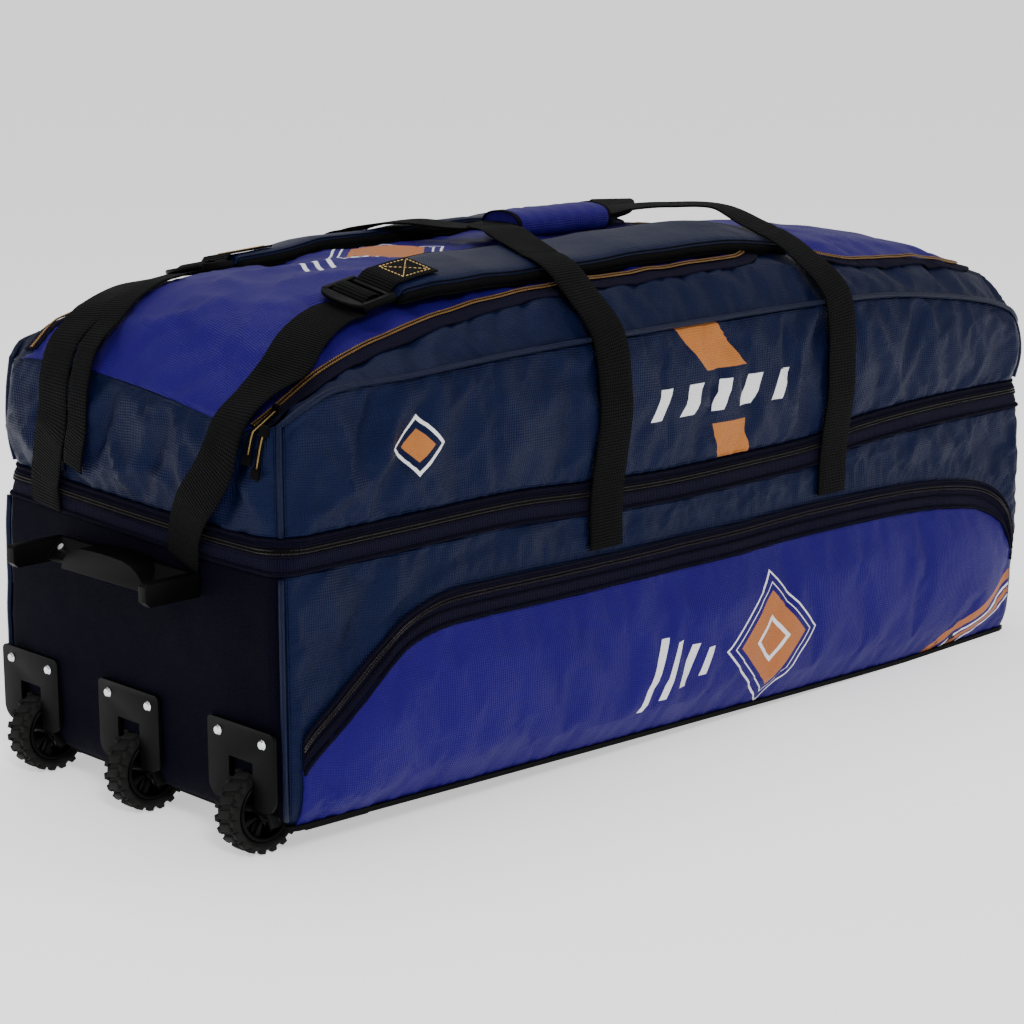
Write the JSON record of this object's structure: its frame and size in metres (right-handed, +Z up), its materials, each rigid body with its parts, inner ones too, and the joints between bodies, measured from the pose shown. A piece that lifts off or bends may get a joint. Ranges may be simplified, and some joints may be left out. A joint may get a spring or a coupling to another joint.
{
  "type": "wheeled cricket kit bag",
  "caption": "Long soft kit bag with a domed lid top, front pocket, haul handles, padded shoulder straps and wheels in brackets at one end",
  "frame": {"origin": "on the ground under the middle of the bag's bounding box", "axes": "+X runs along the bag to its far end, away from the wheels; +Y runs to the back, away from the pocket; +Z is up"},
  "size_m": [1.0026, 0.3858, 0.4435],
  "materials": {
    "navy_cloth": "satin",
    "royal_cloth": "satin",
    "indigo_tape": "matt",
    "end_cloth": "matt",
    "gold_zip": "satin",
    "dark_steel": "dark",
    "black_webbing": "ribbed",
    "chrome": "polished",
    "tyre_rubber": "matt",
    "black_plastic": "fine grain"
  },
  "bodies": {
    "bag": {"bottom_board": "black_plastic", "lower_front": "navy_cloth", "upper_front": "navy_cloth", "lower_far_end": "navy_cloth", "upper_far_end": "navy_cloth", "lower_back": "navy_cloth", "upper_back": "navy_cloth", "lower_wheel_end": "end_cloth", "upper_wheel_end": "navy_cloth", "mid_band": "indigo_tape", "mid_zip": "dark_steel", "main_lid": "royal_cloth", "end_lid": "royal_cloth", "top_panel": "navy_cloth", "main_zip": "gold_zip", "end_zip": "gold_zip", "pocket_panel": "royal_cloth", "pocket_zip": "indigo_tape", "piping_front": "navy_cloth", "piping_back": "navy_cloth", "corner_piping_near": "navy_cloth", "corner_piping_far": "navy_cloth", "shoulder_pad_near": "navy_cloth", "pad_patch_near": "black_webbing", "buckle_near": "black_plastic", "shoulder_pad_far": "navy_cloth", "pad_patch_far": "black_webbing", "buckle_far": "black_plastic", "shoulder_web_near": "black_webbing", "shoulder_web_far": "black_webbing", "strap_tail_far": "black_webbing", "haul_strap_near": "black_webbing", "haul_strap_far": "black_webbing", "grip_wrap": "royal_cloth", "main_zip_pull": "dark_steel", "main_zip_pull_spare": "dark_steel", "wheel_bracket_near": "black_plastic", "rivet_near_a": "chrome", "rivet_near_b": "chrome", "wheel_bracket_mid": "black_plastic", "rivet_mid_a": "chrome", "rivet_mid_b": "chrome", "wheel_bracket_far": "black_plastic", "rivet_far_a": "chrome", "rivet_far_b": "chrome", "axle_near": "dark_steel", "axle_mid": "dark_steel", "axle_far": "dark_steel", "end_handle": "black_plastic", "end_handle_screw": "chrome"},
    "wheel_near": {"tyre_near": "tyre_rubber", "wheel_hub_near": "black_plastic"},
    "wheel_mid": {"tyre_mid": "tyre_rubber", "wheel_hub_mid": "black_plastic"},
    "wheel_far": {"tyre_far": "tyre_rubber", "wheel_hub_far": "black_plastic"}
  },
  "joints": [
    {"name": "wheel_near_spin", "type": "hinge", "parent": "bag", "child": "wheel_near", "pos_m": [-0.43832, -0.13381, 0.034], "axis": [0, 1, 0], "continuous": true},
    {"name": "wheel_mid_spin", "type": "hinge", "parent": "bag", "child": "wheel_mid", "pos_m": [-0.4401, 0.00319, 0.034], "axis": [0, 1, 0], "continuous": true},
    {"name": "wheel_far_spin", "type": "hinge", "parent": "bag", "child": "wheel_far", "pos_m": [-0.43825, 0.14019, 0.034], "axis": [0, 1, 0], "continuous": true}
  ]
}
